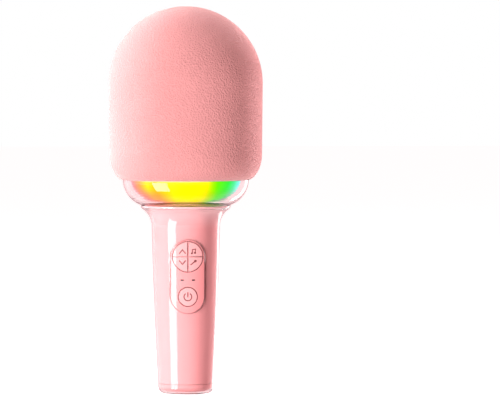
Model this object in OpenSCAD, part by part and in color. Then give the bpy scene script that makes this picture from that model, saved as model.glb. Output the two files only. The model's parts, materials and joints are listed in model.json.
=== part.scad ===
// Karaoke microphone. A foam windscreen covers a caged head that holds a microphone capsule and a
// loudspeaker. Below it a clear cup shows a lit bowl. The tapered handle holds the key panel, the
// circuit board and the battery. The origin is the centre of the flat base, +Z runs up the handle,
// and the key panel faces -Y.

/* [Foam head] */
// Overall height
total_h = 221.2; // [220:0.2:223]
// Outer radius of the foam windscreen
foam_r = 44; // [43:0.5:46]
// Radius of the bore in the foam
foam_bore_r = 36.45; // [36.3:0.05:36.8]
// Lower edge of the foam
foam_bottom_z = 122.2; // [121.8:0.1:122.8]

/* [Light cup] */
// Largest outer radius of the clear cup
cup_r = 36.05; // [35.8:0.05:36.1]
// Wall thickness of the clear cup
cup_wall = 2.5; // [2:0.1:2.6]
// Radius of the cup's rounded corner in section
cup_corner_r = 15.95; // [15.5:0.05:16.2]
// Largest outer radius of the lit bowl
bowl_r = 31.8; // [31:0.1:32]
// Wall thickness of the lit bowl
bowl_wall = 1.5; // [1.2:0.1:1.8]
// Number of light-emitting diodes round the bowl
led_count = 12; // [8:1:14]

/* [Handle] */
// Outer radius at the bottom of the taper
handle_low_r = 16.15; // [15.9:0.05:16.4]
// Outer radius at the top of the taper
handle_top_r = 19.5; // [19.2:0.1:20]
// How far the taper bulges outside a straight line
handle_bulge = 0.45; // [0:0.05:0.8]
// Radius of the hollow flare
flare_r = 12; // [11.5:0.1:12.2]
// Radius of the rounded lip above the flare
lip_r = 2.6; // [2.4:0.1:2.7]
// Radius of the flange that carries the cup
flange_r = 25.7; // [25.5:0.1:25.9]
// Top face of the flange
flange_z = 107.4; // [107:0.1:107.5]
// Thickness of the clear skin
skin_wall = 1.2; // [1:0.1:1.3]
// Thickness of the coloured handle wall
core_wall = 1.5; // [1.3:0.1:1.6]

/* [Key panel] */
// Width of the panel, which has round ends
panel_w = 19.4; // [19:0.1:20]
// Height of the centre of the upper end, where the four-way keys are
keypad_z = 78.9; // [78.5:0.1:80]
// Height of the centre of the lower end, where the power key is
power_z = 56.1; // [55:0.1:56.5]
// Outer radius of the four-way key group
keypad_r = 8.4; // [8.3:0.05:8.8]
// Radius of the power key
power_r = 5.15; // [5.1:0.05:5.6]
// Travel of every key
key_travel = 0.5; // [0.3:0.05:0.5]
// How far the keys stand proud of the panel
key_proud = 0.3; // [0.2:0.05:0.4]
// Radius of the stem behind each key
stem_r = 2.2; // [1.8:0.1:2.3]

/* [Battery] */
// Radius of the cylindrical cell
cell_r = 9.3; // [9.1:0.05:9.3]
// Length of the cell
cell_h = 65; // [64:0.5:65]

/* [Base cap] */
// Height of the cap
cap_h = 5.7; // [5.5:0.1:6]
// Radius of the cap's lower corner
cap_corner_r = 4; // [3:0.1:4.2]

/* [Hidden] */
$fn = 72;
eps = 0.01;
slip = 0.1;

// Foam head
dome_z = total_h - foam_r;
foam_side_r = foam_r - 0.4;
foam_lip_rx = 9.3;
foam_lip_rz = 15;
foam_lip_cos = (foam_bore_r - (foam_side_r - foam_lip_rx)) / foam_lip_rx;
foam_lip_angle = acos(foam_lip_cos);
foam_lip_z = foam_bottom_z + foam_lip_rz * sin(foam_lip_angle);

// Cage and mesh under the foam
cage_r = foam_bore_r - 1.25;
cage_wall = 2;
mesh_r = cage_r - cage_wall - 0.3;
mesh_wall = 0.5;
rib_count = 12;
window_angle = 24;
cage_top_r = 12;

// Chassis deck that closes the light cup and carries the cage
cup_top_z = 123.5;
deck_z = cup_top_z + 0.1;
deck_top_z = deck_z + 2.4;
deck_r = 35.4;
upstand_r = cage_r - cage_wall - 0.15;
upstand_z = deck_top_z + 5;
cage_screw_z = deck_top_z + 2.6;
column_r = 9;
column_bore_r = 6.5;
foot_r = 15.5;
foot_h = 1.6;

// Light cup and lit bowl, both drawn from one arc each
cup_z = 122.6;
cup_cx = cup_r - cup_corner_r;
cup_low_z = flange_z + slip;
bowl_corner_r = 15.4;
bowl_cx = bowl_r - bowl_corner_r;
bowl_z = cup_z - cup_corner_r + cup_wall + 0.15 + bowl_corner_r;
bowl_floor_z = bowl_z - bowl_corner_r;
foot_z = bowl_floor_z + bowl_wall + slip;
led_board_z = 119.6;
led_board_r = 27.6;
led_ring_r = 24.2;
led_size = 5;
led_screw_ring_r = 18.5;
neck_screw_ring_r = 12.5;
neck_angles = [30, 150, 270];

// Loudspeaker
tub_r = 31;
tub_wall = 1.8;
tub_ledge_r = 27.7;
tub_top_z = 149.4;
gasket_h = 0.6;
flange_low_z = tub_top_z + gasket_h;
frame_sheet = 1.2;
frame_z = flange_low_z + frame_sheet;
frame_r = 30.8;
frame_bore_r = 24.4;
plate_z = 137;
terminal_z = 140.5;
magnet_r = 14.5;
coil_r = 6.5;
cone_z = frame_z - 0.4;
wire_hole_r = 5.6;
cone_r = 21.5;
speaker_screw_ring_r = 29.2;

// Capsule bridge
bridge_z = 181;
bridge_leg_r = 29.5;
capsule_r = 4.85;

// Handle interior
cap_gap = 0.2;
wall_z = cap_h + cap_gap;
cap_edge_r = handle_low_r - 0.05;
cap_flat_r = cap_edge_r - cap_corner_r;
flare_end = acos(1 - (flange_r - handle_top_r) / (flare_r + lip_r));
flare_z = flange_z - (flare_r + lip_r) * sin(flare_end);
core_off = skin_wall + slip;
bore_off = core_off + core_wall;
core_deck_z = flange_z - 3.2;
taper_steps = 9;
flare_steps = 9;
lip_steps = 5;
board_y = -8.9;
board_t = 1.2;
board_back_y = board_y + board_t;
board_low_z = 40;
board_top_z = 96.5;
board_w = 19.2;
board_screw_z = [43.5, 93.5];
board_screw_x = 7.6;
cell_y = 2.5;
cell_z = 12.2;
cradle_low_z = 10.5;
cradle_top_z = 97;
cradle_in_r = cell_r + 0.1;
cradle_out_r = cell_r + 1.3;
pad_back_y = -11.9;
pad_y = pad_back_y - 0.6;
pad_boss = 0.25;
key_back_y = pad_y - pad_boss - key_travel - 0.15;
cap_inner = skin_wall - key_travel - 0.15;
slot_x = 3.2;
slot_z = 65.6;
slot_w = 1.9;
slot_h = 0.8;
switch_offset = 3.9;
gap_upright = 0.9;
gap_level = 0.6;
base_screw_x = 8;
socket_w = 7.5;
socket_d = 2.5;
socket_h = 5;
socket_z = 1.4;
wire_r = 0.55;
wire_gap = 1.3;

foam_pink = [0.98, 0.71, 0.70];
pink = [0.97, 0.68, 0.68];
clear_pink = [1, 0.90, 0.90, 0.45];
steel = [0.75, 0.76, 0.78];
screw_steel = [0.55, 0.56, 0.58];
board_green = [0.10, 0.36, 0.22];
ivory = [0.94, 0.92, 0.88];
black = [0.09, 0.09, 0.10];

// ---- helpers -------------------------------------------------------------------------------------

function arc(cx, cz, r, from, to, n) = [
  for (i = [0 : n])
    let (a = from + (to - from) * i / n)
    [cx + r * cos(a), cz + r * sin(a)]
];

function turned(list) = [for (i = [len(list) - 1 : -1 : 0]) list[i]];

// Outer radius of the handle's taper at height z
function handle_r(z) =
  let (t = (z - cap_h) / (flare_z - cap_h))
  handle_low_r + (handle_top_r - handle_low_r) * t + handle_bulge * sin(180 * t);

// Side of the handle, off millimetres inside its outer surface, from low_z up to height high_z
function taper_side(off, low_z) = [
  for (i = [0 : taper_steps])
    let (z = low_z + (flare_z - low_z) * i / taper_steps)
    [handle_r(z) - off, z]
];

function flare_side(off, last) = [
  for (i = [1 : flare_steps])
    let (a = 180 - last * i / flare_steps)
    [handle_top_r + flare_r + (flare_r + off) * cos(a), flare_z + (flare_r + off) * sin(a)]
];

function lip_side(off) = [
  for (i = [1 : lip_steps])
    let (a = -flare_end * (1 - i / lip_steps))
    [flange_r - lip_r + (lip_r - off) * cos(a), flange_z + (lip_r - off) * sin(a)]
];

function handle_side(off, low_z) =
  concat(taper_side(off, low_z), flare_side(off, flare_end), lip_side(off));

module spin(points) { rotate_extrude($fn = 120) polygon(points); }

module ring(outer, inner, low, high) {
  translate([0, 0, low])
    difference() {
      cylinder(r = outer, h = high - low);
      translate([0, 0, -eps]) cylinder(r = inner, h = high - low + 2 * eps);
    }
}

module around(angles, radius) {
  for (a = angles) rotate([0, 0, a]) translate([radius, 0, 0]) children();
}

// A screw with its head's underside at z = 0, its shank down to -length, and a cross slot
module screw(head_r, head_h, shank_r, length) {
  difference() {
    union() {
      cylinder(r = head_r, h = head_h, $fn = 32);
      translate([0, 0, -length]) cylinder(r = shank_r, h = length + eps, $fn = 32);
    }
    for (a = [0, 90])
      rotate([0, 0, a])
        translate([0, 0, head_h])
          cube([head_r * 1.3, head_r * 0.3, head_h * 0.9], center = true);
  }
}

// A shape in the plane x-z, drawn as x-y and pushed through y from near to far
module facing(near_y, far_y) {
  translate([0, far_y, 0])
    rotate([90, 0, 0])
      linear_extrude(far_y - near_y) children();
}

module capsule_outline(r) {
  union() {
    translate([0, keypad_z]) circle(r, $fn = 96);
    translate([0, power_z]) circle(r, $fn = 96);
    translate([-r, power_z]) square([2 * r, keypad_z - power_z]);
  }
}

// The front of the handle as a solid that ends off millimetres inside the outer surface
module handle_front(off) {
  intersection() {
    spin(concat([[0, wall_z]], taper_side(off, wall_z), [[0, flare_z]]));
    translate([-15, -30, 40]) cube([30, 27, 52]);
  }
}

// ---- wires ---------------------------------------------------------------------------------------

function catmull(a, b, c, d, t) =
  0.5 * ((2 * b) + (c - a) * t + (2 * a - 5 * b + 4 * c - d) * t * t
    + (3 * b - a - 3 * c + d) * t * t * t);

function smooth_path(pts, n) = concat(
  [for (i = [0 : len(pts) - 2])
    for (k = [0 : n - 1])
      catmull(pts[max(i - 1, 0)], pts[i], pts[i + 1], pts[min(i + 2, len(pts) - 1)], k / n)],
  [pts[len(pts) - 1]]
);

function unit(v) = v / norm(v);

module wire(points) {
  sides = 8;
  path = smooth_path(points, 4);
  last = len(path) - 1;
  up = unit([0.31, 0.93, 0.2]);
  rings = [
    for (i = [0 : last])
      let (
        along = unit(path[min(i + 1, last)] - path[max(i - 1, 0)]),
        side = unit(cross(along, up)),
        top = cross(side, along)
      )
      for (k = [0 : sides - 1])
        path[i] + wire_r * (side * cos(360 * k / sides) + top * sin(360 * k / sides))
  ];
  walls = [
    for (i = [0 : last - 1])
      for (k = [0 : sides - 1])
        let (n = (k + 1) % sides, low = i * sides, high = low + sides)
        each [[low + k, low + n, high + n], [low + k, high + n, high + k]]
  ];
  first_end = [[for (k = [sides - 1 : -1 : 0]) k]];
  last_end = [[for (k = [0 : sides - 1]) last * sides + k]];
  polyhedron(rings, concat(walls, first_end, last_end));
}

// Two wires side by side, wire_gap apart. They turn from side a to side b over the last three points
module wire_pair(points, a, b) {
  turn = [for (i = [0 : len(points) - 1]) max(0, i - len(points) + 4) / 3];
  apart = [for (t = turn) wire_gap / 2 * unit(a * (1 - t) + b * t)];
  wire([for (i = [0 : len(points) - 1]) points[i] - apart[i]]);
  wire([for (i = [0 : len(points) - 1]) points[i] + apart[i]]);
}

// ---- foam head -----------------------------------------------------------------------------------

module foam_windscreen() {
  outer = concat(
    turned([
      for (i = [0 : 10])
        let (a = foam_lip_angle * i / 10)
        [foam_side_r - foam_lip_rx + foam_lip_rx * cos(a), foam_lip_z - foam_lip_rz * sin(a)]
    ]),
    arc(0, dome_z, foam_r, 0, 90, 24)
  );
  inner = arc(0, dome_z, foam_bore_r, 90, 0, 20);
  color(foam_pink) spin(concat(outer, inner));
}

module dome_shell(outer, inner, low_z) {
  difference() {
    union() {
      translate([0, 0, low_z]) cylinder(r = outer, h = dome_z - low_z, $fn = 96);
      translate([0, 0, dome_z]) sphere(outer, $fn = 96);
    }
    translate([0, 0, low_z - eps]) cylinder(r = inner, h = dome_z - low_z + eps, $fn = 96);
    translate([0, 0, dome_z]) sphere(inner, $fn = 96);
    translate([0, 0, low_z - 2 * outer])
      cube([4 * outer, 4 * outer, 4 * outer], center = true);
  }
}

// Wedge openings between the cage's ribs, for one row
module window_row(low_z, high_z, hub_r) {
  reach = cage_r + 4;
  translate([0, 0, low_z])
    linear_extrude(high_z - low_z)
      difference() {
        for (i = [0 : rib_count - 1])
          rotate(360 * (i + 0.5) / rib_count)
            polygon([
              [0, 0],
              [reach * cos(window_angle / 2), -reach * sin(window_angle / 2)],
              [reach * cos(window_angle / 2), reach * sin(window_angle / 2)]
            ]);
        circle(hub_r, $fn = 64);
      }
}

module grille_cage() {
  color(ivory)
    difference() {
      dome_shell(cage_r, cage_r - cage_wall, deck_top_z + slip);
      window_row(133.5, 149, 20);
      window_row(152, 173.5, 20);
      window_row(176.5, total_h, cage_top_r);
      around([0, 120, 240], 0)
        translate([0, 0, cage_screw_z])
          rotate([0, 90, 0]) {
            cylinder(r = 1.15, h = 60, $fn = 32);
            translate([0, 0, cage_r - 0.3]) cylinder(r = 2.1, h = 5, $fn = 32);
          }
    }
}

module grille_mesh() {
  color(steel) dome_shell(mesh_r, mesh_r - mesh_wall, upstand_z + slip);
}

module cage_screws() {
  color(screw_steel)
    around([0, 120, 240], cage_r - 0.2)
      translate([0, 0, cage_screw_z])
        rotate([0, 90, 0]) screw(2, 0.8, 1, 3.4);
}

module mic_capsule() {
  color(steel)
    difference() {
      translate([0, 0, bridge_z + 4]) cylinder(r = capsule_r, h = 7, $fn = 64);
      translate([0, 0, bridge_z + 10.5]) cylinder(r = capsule_r - 0.6, h = 1, $fn = 64);
      around([0 : 60 : 300], 2.6)
        translate([0, 0, bridge_z + 10]) cylinder(r = 0.6, h = 2, $fn = 16);
    }
}

module capsule_boot() {
  floor_z = bridge_z + 2.9;
  color(black)
    difference() {
      translate([0, 0, floor_z]) cylinder(r = 8, h = 9, $fn = 64);
      translate([0, 0, bridge_z + 3.95]) cylinder(r = capsule_r + 0.05, h = 10, $fn = 64);
      translate([0, 0, floor_z - eps]) cylinder(r = 2.4, h = 3, $fn = 32);
    }
}

module capsule_bridge() {
  leg = [2, 7, bridge_z - frame_z];
  color(ivory)
    difference() {
      union() {
        translate([0, 0, bridge_z]) cylinder(r = 10, h = 9, $fn = 64);
        translate([-bridge_leg_r - 1, -3.5, bridge_z]) cube([2 * bridge_leg_r + 2, 7, 2.8]);
        for (side = [-1, 1]) {
          translate([side * bridge_leg_r - 1, -3.5, frame_z]) cube(leg);
          translate([side * 29.4 - 1.5, -6.5, frame_z]) cube([3, 13, 1.6]);
        }
      }
      translate([0, 0, bridge_z + 2.8]) cylinder(r = 8.15, h = 8, $fn = 64);
      translate([0, 0, bridge_z - 1]) cylinder(r = 3, h = 5, $fn = 32);
      for (side = [-1, 1])
        for (y = [-5, 5])
          translate([side * 29.4, y, frame_z - 1]) cylinder(r = 0.85, h = 4, $fn = 24);
    }
}

module bridge_screws() {
  color(screw_steel)
    for (side = [-1, 1])
      for (y = [-5, 5])
        translate([side * 29.4, y, frame_z + 1.6]) screw(1.3, 0.8, 0.7, 4.6);
}

// ---- loudspeaker ---------------------------------------------------------------------------------

module screw_holes(r, low, high) {
  for (side = [-1, 1])
    for (y = [-5, 5])
      translate([side * 29.4, y, low]) cylinder(r = r, h = high - low, $fn = 24);
  around([45, 135, 225, 315], speaker_screw_ring_r)
    translate([0, 0, low]) cylinder(r = r, h = high - low, $fn = 24);
}

module speaker_enclosure() {
  floor_z = deck_top_z + slip;
  color(black)
    difference() {
      spin([
        [wire_hole_r, floor_z], [tub_r, floor_z], [tub_r, tub_top_z], [tub_ledge_r, tub_top_z],
        [tub_ledge_r, tub_top_z - 5], [tub_r - tub_wall, tub_top_z - 7],
        [tub_r - tub_wall, floor_z + 1.6], [wire_hole_r, floor_z + 1.6]
      ]);
      screw_holes(0.8, tub_top_z - 4.5, tub_top_z + 1);
    }
}

module speaker_gasket() {
  color([0.2, 0.2, 0.21])
    difference() {
      ring(frame_r, tub_ledge_r, tub_top_z, flange_low_z);
      screw_holes(0.9, tub_top_z - 1, flange_low_z + 1);
    }
}

module speaker_frame() {
  color(steel)
    difference() {
      union() {
        translate([16.5, -2.5, terminal_z]) cube([5.5, 5, 1]);
        spin([
          [coil_r + 0.6, plate_z], [magnet_r, plate_z], [frame_bore_r, flange_low_z],
          [frame_r, flange_low_z], [frame_r, frame_z], [frame_bore_r - 0.6, frame_z],
          [magnet_r - 0.6, plate_z + frame_sheet], [coil_r + 0.6, plate_z + frame_sheet]
        ]);
      }
      screw_holes(0.85, flange_low_z - 1, frame_z + 1);
      around([45 : 90 : 315], 19.5)
        translate([0, 0, plate_z + 6]) cube([6, 14, 5.5], center = true);
      around([180], 26.2)
        translate([0, 0, flange_low_z - 1]) cylinder(r = 1.2, h = 4, $fn = 24);
    }
}

module speaker_magnet() {
  low_z = plate_z - 6.2;
  color([0.16, 0.16, 0.17]) {
    ring(magnet_r, 8.2, low_z + 1.8, plate_z - 2);
    ring(magnet_r - 1, coil_r + 0.6, plate_z - 1.95, plate_z - 0.05);
    translate([0, 0, low_z]) cylinder(r = magnet_r - 1, h = 1.75, $fn = 96);
    translate([0, 0, low_z + 1.75 - eps]) cylinder(r = coil_r - 1, h = plate_z - low_z - 1.75);
  }
}

module voice_coil() {
  color([0.72, 0.42, 0.2]) ring(coil_r, coil_r - 0.4, plate_z - 3, plate_z + 5);
}

module speaker_cone() {
  color(black)
    spin([
      [coil_r - 0.4, plate_z + 5.02], [coil_r + 0.3, plate_z + 5.02],
      [cone_r, cone_z], [cone_r, cone_z + 0.6], [coil_r - 0.1, plate_z + 5.9],
      [coil_r - 0.4, plate_z + 5.9]
    ]);
}

module dust_cap() {
  rise = 2.6;
  base_r = 7.5;
  ball_r = (base_r * base_r + rise * rise) / (2 * rise);
  edge = asin(base_r / ball_r);
  top_z = plate_z + 9.5;
  color([0.2, 0.2, 0.22])
    spin(concat(
      arc(0, top_z - ball_r, ball_r, 90 - edge, 90, 8),
      arc(0, top_z - ball_r, ball_r - 0.5, 90, 90 - edge, 8)
    ));
}

module speaker_surround() {
  mid_r = 23.1;
  color([0.14, 0.14, 0.15])
    spin(concat(
      [[24.3, cone_z + 0.7]],
      arc(mid_r, cone_z + 1.1, 1.2, 0, 180, 10),
      arc(mid_r, cone_z + 1.1, 0.7, 180, 0, 10),
      [[mid_r + 0.7, cone_z + 0.7]]
    ));
}

module speaker_screws() {
  color(screw_steel)
    around([45, 135, 225, 315], speaker_screw_ring_r)
      translate([0, 0, frame_z]) screw(1.4, 0.9, 0.7, 5);
}

// ---- light cup -----------------------------------------------------------------------------------

module head_chassis() {
  column_top = deck_z + eps;
  color(ivory)
    difference() {
      union() {
        ring(deck_r, column_bore_r, deck_z, deck_top_z);
        ring(upstand_r, upstand_r - 1.6, deck_top_z - eps, upstand_z);
        ring(cup_r - cup_wall - 0.2, bowl_r + 0.3, deck_z - 1.6, deck_z + eps);
        ring(column_r, column_bore_r, foot_z, column_top);
        ring(foot_r, column_bore_r, foot_z, foot_z + foot_h);
        around([90, 210, 330], led_screw_ring_r)
          translate([0, 0, led_board_z + 1.7])
            cylinder(r = 2.6, h = deck_z - led_board_z - 1.7 + eps, $fn = 40);
      }
      around(neck_angles, neck_screw_ring_r)
        translate([0, 0, foot_z - 1]) cylinder(r = 1.3, h = 4, $fn = 32);
      around([90, 210, 330], led_screw_ring_r)
        translate([0, 0, led_board_z + 1]) cylinder(r = 0.95, h = 4, $fn = 24);
      around([0, 120, 240], upstand_r - 3)
        translate([0, 0, cage_screw_z])
          rotate([0, 90, 0]) cylinder(r = 1.05, h = 6, $fn = 24);
      translate([column_bore_r - 1, -2, 114.6]) cube([4, 4, 2.6]);
    }
}

module light_cup() {
  rim = [[cup_r, cup_top_z], [cup_r - cup_wall, cup_top_z]];
  wall_r = cup_corner_r - cup_wall;
  low_angle = asin((cup_low_z - cup_z) / cup_corner_r);
  color(clear_pink)
    difference() {
      spin(concat(
        [[11, cup_low_z]],
        arc(cup_cx, cup_z, cup_corner_r, low_angle, 0, 16),
        rim,
        arc(cup_cx, cup_z, wall_r, 0, -90, 16),
        [[11, cup_z - wall_r]]
      ));
      around(neck_angles, neck_screw_ring_r)
        translate([0, 0, cup_low_z - 1]) cylinder(r = 1.3, h = 4, $fn = 32);
    }
}

module lit_bowl() {
  inner_r = bowl_corner_r - bowl_wall;
  top = asin((cup_top_z - slip - bowl_z) / bowl_corner_r);
  color([1, 0.85, 0.2])
    difference() {
      spin(concat(
        arc(bowl_cx, bowl_z, bowl_corner_r, -90, top, 16),
        arc(bowl_cx, bowl_z, inner_r, top, -90, 16),
        [[11, bowl_z - inner_r], [11, bowl_floor_z]]
      ));
      around(neck_angles, neck_screw_ring_r)
        translate([0, 0, bowl_floor_z - 1]) cylinder(r = 1.3, h = 4, $fn = 32);
    }
}

module led_board() {
  color([0.95, 0.95, 0.93])
    difference() {
      ring(led_board_r, 10.2, led_board_z, led_board_z + 1.6);
      around([90, 210, 330], led_screw_ring_r)
        translate([0, 0, led_board_z - 1]) cylinder(r = 1.1, h = 4, $fn = 24);
    }
}

module rgb_leds() {
  color([1, 1, 0.9])
    around([for (i = [0 : led_count - 1]) 360 * (i + 0.5) / led_count], led_ring_r)
      translate([0, 0, led_board_z - 0.8]) cube([led_size, led_size, 1.5], center = true);
}

module led_screws() {
  color(screw_steel)
    around([90, 210, 330], led_screw_ring_r)
      translate([0, 0, led_board_z]) mirror([0, 0, 1]) screw(1.8, 1.1, 0.9, 4);
}

module neck_screws() {
  color(screw_steel)
    around(neck_angles, neck_screw_ring_r)
      translate([0, 0, foot_z + foot_h]) screw(2.1, 1.4, 1.15, 11.5);
}

// ---- handle --------------------------------------------------------------------------------------

module handle_skin() {
  color(clear_pink)
    difference() {
      spin(concat(handle_side(0, wall_z), turned(handle_side(skin_wall, wall_z))));
      facing(-40, 0) capsule_outline(panel_w / 2 + 0.15);
    }
}

module handle_core() {
  deck_low = 180 - asin((core_deck_z - flare_z) / (flare_r + bore_off));
  outer = handle_side(core_off, wall_z);
  inner = concat(taper_side(bore_off, wall_z), flare_side(bore_off, 180 - deck_low));
  color(pink)
    difference() {
      union() {
        spin(concat(outer, [[8.5, flange_z], [8.5, core_deck_z]], turned(inner)));
        around(neck_angles, neck_screw_ring_r)
          translate([0, 0, 98]) cylinder(r = 2.4, h = core_deck_z - 98 + 1, $fn = 40);
      }
      around(neck_angles, neck_screw_ring_r)
        translate([0, 0, 90]) cylinder(r = 1.2, h = 20, $fn = 32);
      facing(-40, 0) switch_places() circle(stem_r + 0.3, $fn = 40);
      for (side = [-1, 1])
        facing(-40, 0)
          translate([side * slot_x, slot_z]) square([slot_w + 0.4, slot_h + 0.4], center = true);
    }
}

module key_panel() {
  color(pink)
    difference() {
      handle_front(0.05);
      handle_front(skin_wall + 0.05);
      facing(-40, 0)
        difference() {
          translate([-40, 0]) square([80, 120]);
          capsule_outline(panel_w / 2);
        }
      facing(-40, 0) translate([0, keypad_z]) circle(keypad_r + 0.2);
      facing(-40, 0) translate([0, power_z]) circle(power_r + 0.2);
      for (side = [-1, 1])
        facing(-40, 0)
          translate([side * slot_x, slot_z]) square([slot_w, slot_h], center = true);
    }
}

module indicator_lenses() {
  color(black)
    intersection() {
      handle_front(0.1);
      for (side = [-1, 1])
        facing(-30, -10)
          translate([side * slot_x, slot_z])
            square([slot_w - 0.06, slot_h - 0.06], center = true);
    }
}

// A key with a stem at (x, z). Its cap is a thin curved sheet cut to the outline of the children
module key_body(x, z) {
  color(pink) {
    intersection() {
      difference() {
        handle_front(-key_proud);
        handle_front(cap_inner);
      }
      facing(-30, -8) children();
    }
    intersection() {
      handle_front(cap_inner - 0.3);
      facing(-30, key_back_y) translate([x, z]) circle(stem_r, $fn = 40);
    }
  }
}

// One quarter of the round key group, in the quadrant given by two signs
module quarter_key(side, rise) {
  key_body(side * switch_offset, keypad_z + rise * switch_offset)
    translate([0, keypad_z])
      intersection() {
        circle(keypad_r);
        translate([side > 0 ? gap_upright / 2 : -20, rise > 0 ? gap_level / 2 : -20])
          square([20 - gap_upright / 2, 20 - gap_level / 2]);
      }
}

module key_up() { quarter_key(-1, 1); }

module key_mode() { quarter_key(1, 1); }

module key_down() { quarter_key(-1, -1); }

module key_effect() { quarter_key(1, -1); }

module power_key() {
  key_body(0, power_z) translate([0, power_z]) circle(power_r);
}

module switch_places() {
  for (side = [-1, 1])
    for (rise = [-1, 1])
      translate([side * switch_offset, keypad_z + rise * switch_offset]) children();
  translate([0, power_z]) children();
}

module key_membrane() {
  color([0.93, 0.90, 0.90]) {
    facing(pad_y, pad_back_y)
      difference() {
        capsule_outline(8.2);
        for (side = [-1, 1])
          translate([side * slot_x, slot_z]) square([2.6, 1.6], center = true);
      }
    facing(pad_y - pad_boss, pad_y + eps) switch_places() circle(2.4, $fn = 32);
  }
}

// ---- electronics ---------------------------------------------------------------------------------

module main_board() {
  color(board_green)
    difference() {
      translate([-board_w / 2, board_y, board_low_z])
        cube([board_w, board_t, board_top_z - board_low_z]);
      for (side = [-1, 1])
        for (z = board_screw_z)
          facing(board_y - 1, board_back_y + 1)
            translate([side * board_screw_x, z]) circle(0.95, $fn = 24);
    }
}

module key_switches() {
  color([0.25, 0.25, 0.27]) {
    facing(board_y - 2.2, board_y)
      switch_places() square([4.5, 4.5], center = true);
    facing(board_y - 2.9, board_y - 2.2 + eps)
      switch_places() circle(1.2, $fn = 24);
  }
}

module board_chips() {
  color(black) {
    translate([-0.4, board_back_y, 80]) cube([6, 1, 6]);
    translate([-5.5, board_back_y, 88.8]) cube([11, 1.6, 3.8]);
    for (side = [-1, 1])
      facing(board_y - 0.8, board_y)
        translate([side * slot_x, slot_z]) square([1.6, 0.8], center = true);
    facing(board_back_y, board_back_y + 5)
      translate([-3.2, 86]) circle(2.3, $fn = 32);
  }
}

module wire_sockets() {
  color(ivory) {
    for (x = [-3.9, 0, 3.9])
      translate([x - 1.8, board_back_y, 93]) cube([3.6, 3, 3.2]);
    translate([-5.2, board_back_y, 79.7]) cube([3.6, 3, 3.6]);
    translate([-2, board_y - 2.4, 41]) cube([4, 2.4, 3.4]);
  }
}

module board_screws() {
  color(screw_steel)
    for (side = [-1, 1])
      for (z = board_screw_z)
        translate([side * board_screw_x, board_y, z])
          rotate([90, 0, 0]) screw(1.5, 0.9, 0.8, 3.2);
}

module battery_cell() {
  color([0.16, 0.42, 0.72])
    translate([0, cell_y, cell_z])
      union() {
        cylinder(r = cell_r, h = cell_h - 1, $fn = 96);
        translate([0, 0, cell_h - 1 - eps]) cylinder(r = 2.8, h = 1, $fn = 40);
      }
}

// The cradle's section: a round back for the cell and straight sides that run to the board
module cradle_outline(r) {
  intersection() {
    union() {
      translate([0, cell_y]) circle(r, $fn = 96);
      translate([-r, -20]) square([2 * r, 20 + cell_y]);
    }
    translate([-20, board_back_y + 0.05]) square([40, 40]);
  }
}

// The space inside the cradle, less the two rails that the board is screwed to
module cradle_space(low_z, high_z) {
  translate([0, 0, low_z])
    linear_extrude(high_z - low_z)
      difference() {
        union() {
          translate([0, cell_y]) circle(cradle_in_r, $fn = 96);
          translate([-cradle_in_r, -20]) square([2 * cradle_in_r, 20 + cell_y]);
        }
        for (side = [-1, 1])
          translate([side * 9.4 - 3.6, -8]) square([7.2, 2.4]);
      }
}

module battery_cradle() {
  cell_top = cradle_low_z + 1.5 + cell_h + 0.6;
  color(ivory)
    difference() {
      union() {
        translate([0, 0, cradle_low_z])
          linear_extrude(cradle_top_z - cradle_low_z) cradle_outline(cradle_out_r);
        for (side = [-1, 1])
          translate([side * base_screw_x, 0, 7]) cylinder(r = 2.2, h = 4, $fn = 40);
      }
      cradle_space(cradle_low_z + 1.5, cell_top);
      cradle_space(cell_top + 1.4, cradle_top_z + 1);
      translate([-2, cell_y - 0.2, cell_top - 1]) cylinder(r = 2.4, h = 4, $fn = 32);
      for (side = [-1, 1]) {
        translate([side * base_screw_x, 0, 6]) cylinder(r = 1.05, h = 10, $fn = 24);
        for (z = board_screw_z)
          facing(board_back_y - 1, -3)
            translate([side * board_screw_x, z]) circle(0.85, $fn = 24);
      }
    }
}

module base_cap() {
  spigot_r = handle_r(wall_z) - bore_off - 0.1;
  color(pink)
    difference() {
      union() {
        spin(concat(
          [[0, 0], [cap_flat_r - slip, 0], [cap_flat_r - slip, core_off]],
          arc(cap_flat_r, cap_corner_r, cap_corner_r - core_off, -90, 0, 8),
          [[cap_edge_r - core_off, cap_h], [spigot_r, cap_h], [spigot_r, 10],
            [spigot_r - 1.2, 10], [spigot_r - 1.2, 3.2], [0, 3.2]]
        ));
        for (side = [-1, 1]) {
          translate([side * base_screw_x, 0, 3]) cylinder(r = 3, h = 3.9, $fn = 40);
          translate([0, side * 8, 3]) cylinder(r = 1.5, h = 3.4, $fn = 32);
        }
      }
      for (side = [-1, 1])
        translate([side * base_screw_x, 0, -1]) {
          cylinder(r = 1.15, h = 10, $fn = 32);
          cylinder(r = 2.1, h = 4, $fn = 32);
        }
      translate([0, 0, 2]) cube([8, 3, 6], center = true);
      translate([0, 0, 0.3]) cube([11, 6.6, 1], center = true);
    }
}

module cap_skin() {
  color(clear_pink)
    spin(concat(
      arc(cap_flat_r, cap_corner_r, cap_corner_r, -90, 0, 8),
      [[cap_edge_r, cap_h], [cap_edge_r - skin_wall, cap_h]],
      arc(cap_flat_r, cap_corner_r, cap_corner_r - skin_wall, 0, -90, 8)
    ));
}

module base_screws() {
  color(screw_steel)
    for (side = [-1, 1])
      translate([side * base_screw_x, 0, 3]) mirror([0, 0, 1]) screw(1.9, 1.4, 1, 7);
}

module charge_board() {
  color(board_green) translate([-4.4, -9.2, 6.5]) cube([8.8, 18.4, 0.9]);
}

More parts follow.
